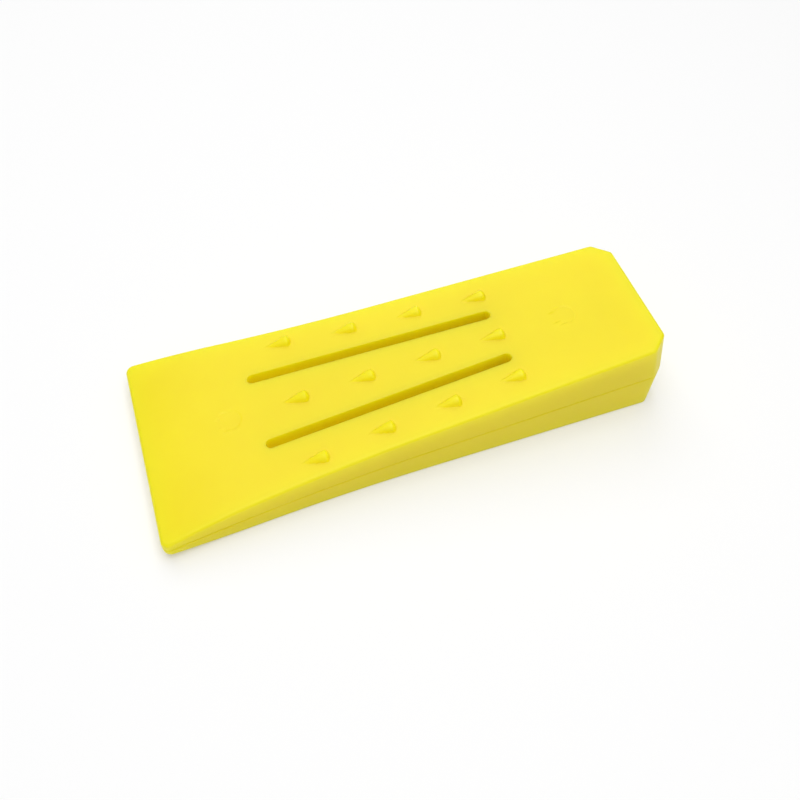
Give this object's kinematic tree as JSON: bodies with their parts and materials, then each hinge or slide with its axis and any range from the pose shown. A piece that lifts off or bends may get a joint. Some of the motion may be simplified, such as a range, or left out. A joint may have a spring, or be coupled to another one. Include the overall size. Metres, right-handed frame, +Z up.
{
  "type": "felling wedge",
  "caption": "One-piece yellow plastic felling wedge: wide thin end, hollow-flared sides, a barbed upper face, blind slots in both faces and a struck head with cut corners.",
  "frame": {"origin": "on the ground under the middle of the wedge's box, with the wedge lying on its lower face", "axes": "+X along the wedge towards the struck head, +Y across its width, +Z up; the lower face is level"},
  "size_m": [0.1404, 0.06, 0.0232],
  "materials": {
    "yellow_plastic": "satin, as moulded"
  },
  "bodies": {
    "root": {"wedge_body": "yellow_plastic"}
  },
  "joints": []
}
